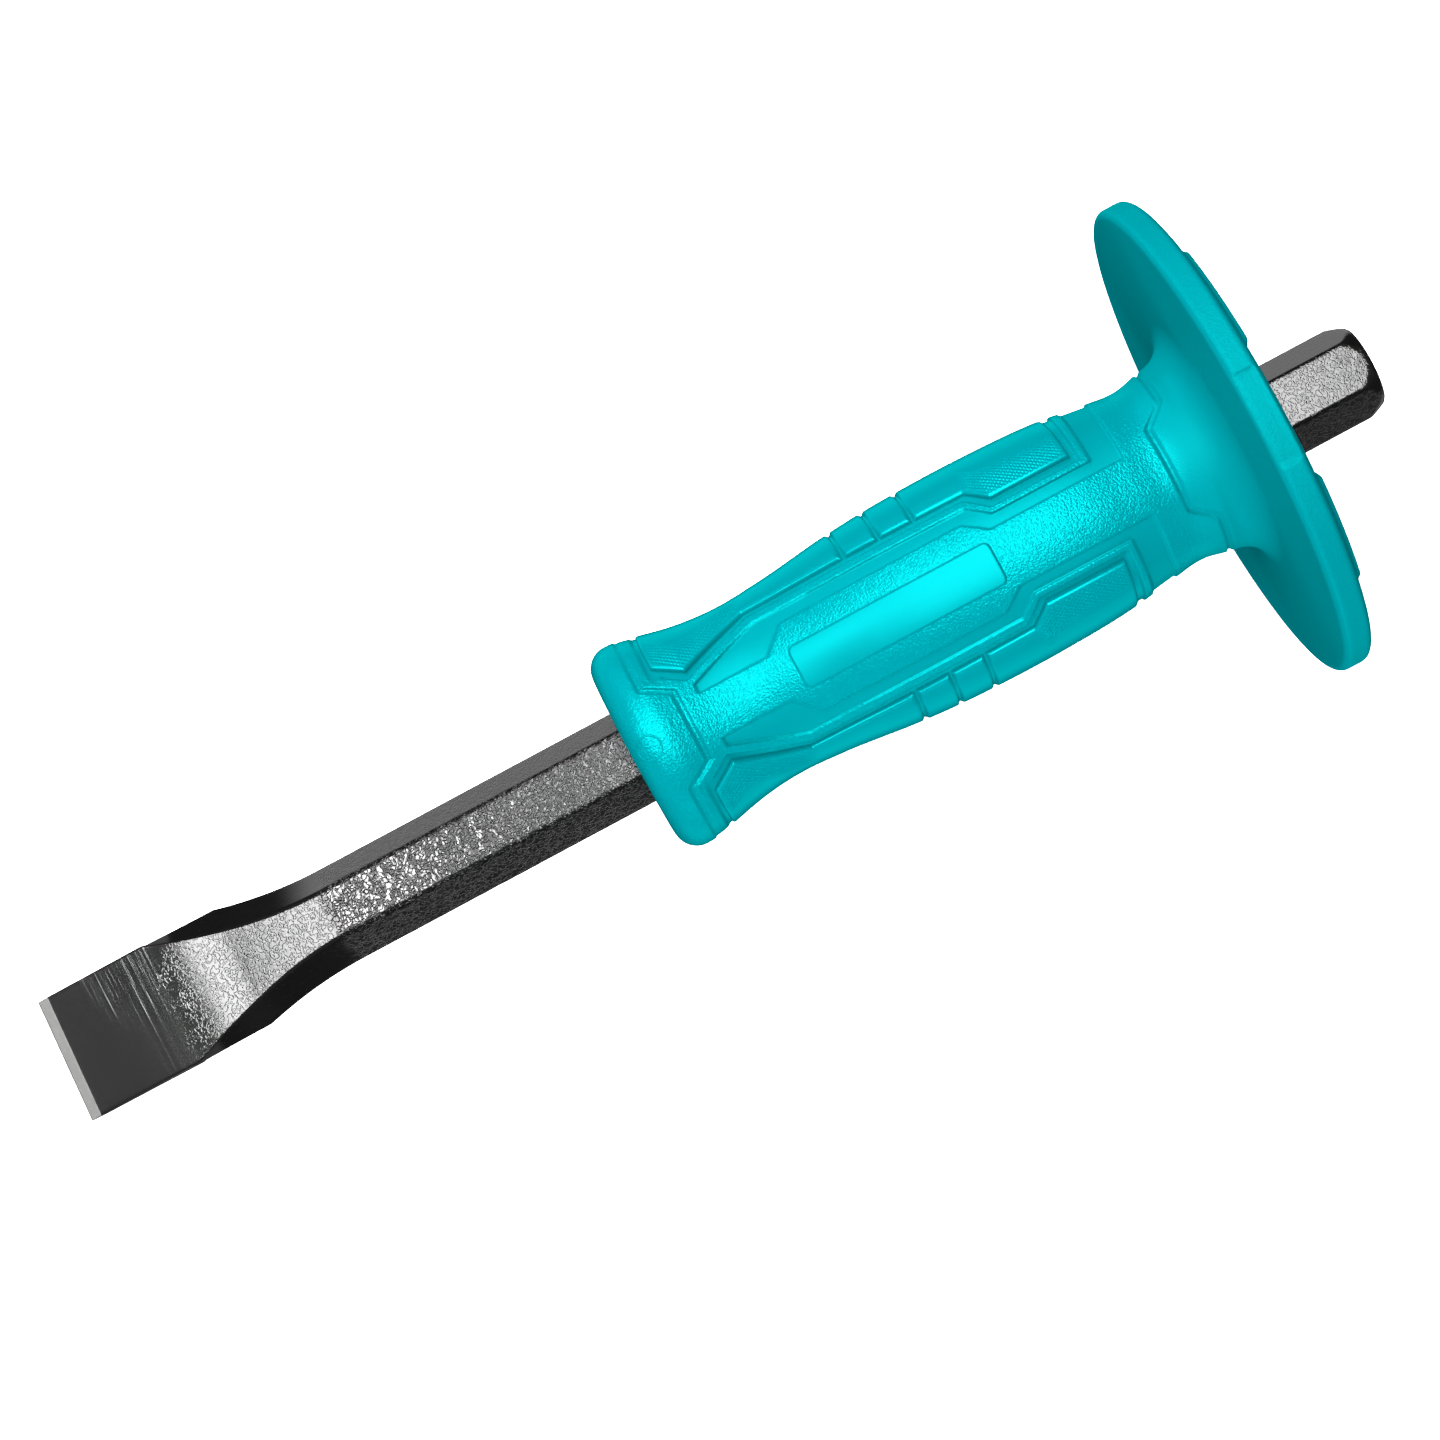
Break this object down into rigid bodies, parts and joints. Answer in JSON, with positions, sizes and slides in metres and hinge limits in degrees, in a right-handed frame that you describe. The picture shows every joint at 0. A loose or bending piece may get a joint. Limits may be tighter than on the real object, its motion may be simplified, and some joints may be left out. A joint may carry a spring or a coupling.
{
  "type": "cold chisel with hand guard",
  "caption": "Flat cold chisel forged from a hexagonal bar, with a ground cutting edge, a soft moulded grip and a round hand guard below the struck end.",
  "frame": {"origin": "centre of the striking face", "axes": "+X along the tool from the cutting edge to the striking face and out of it, +Z square to the blade's broad faces, +Y across the blade"},
  "size_m": [0.2715, 0.0956, 0.0954],
  "materials": {
    "black_lacquered_steel": "semi-gloss black lacquer over forged skin, bright ground bevel",
    "stiff_polypropylene": "as moulded, hidden",
    "soft_moulded_grip": "satin, fine moulded grain"
  },
  "bodies": {
    "root": {"chisel_bar": "black_lacquered_steel", "grip_core": "stiff_polypropylene", "grip_cover": "soft_moulded_grip"}
  },
  "joints": []
}
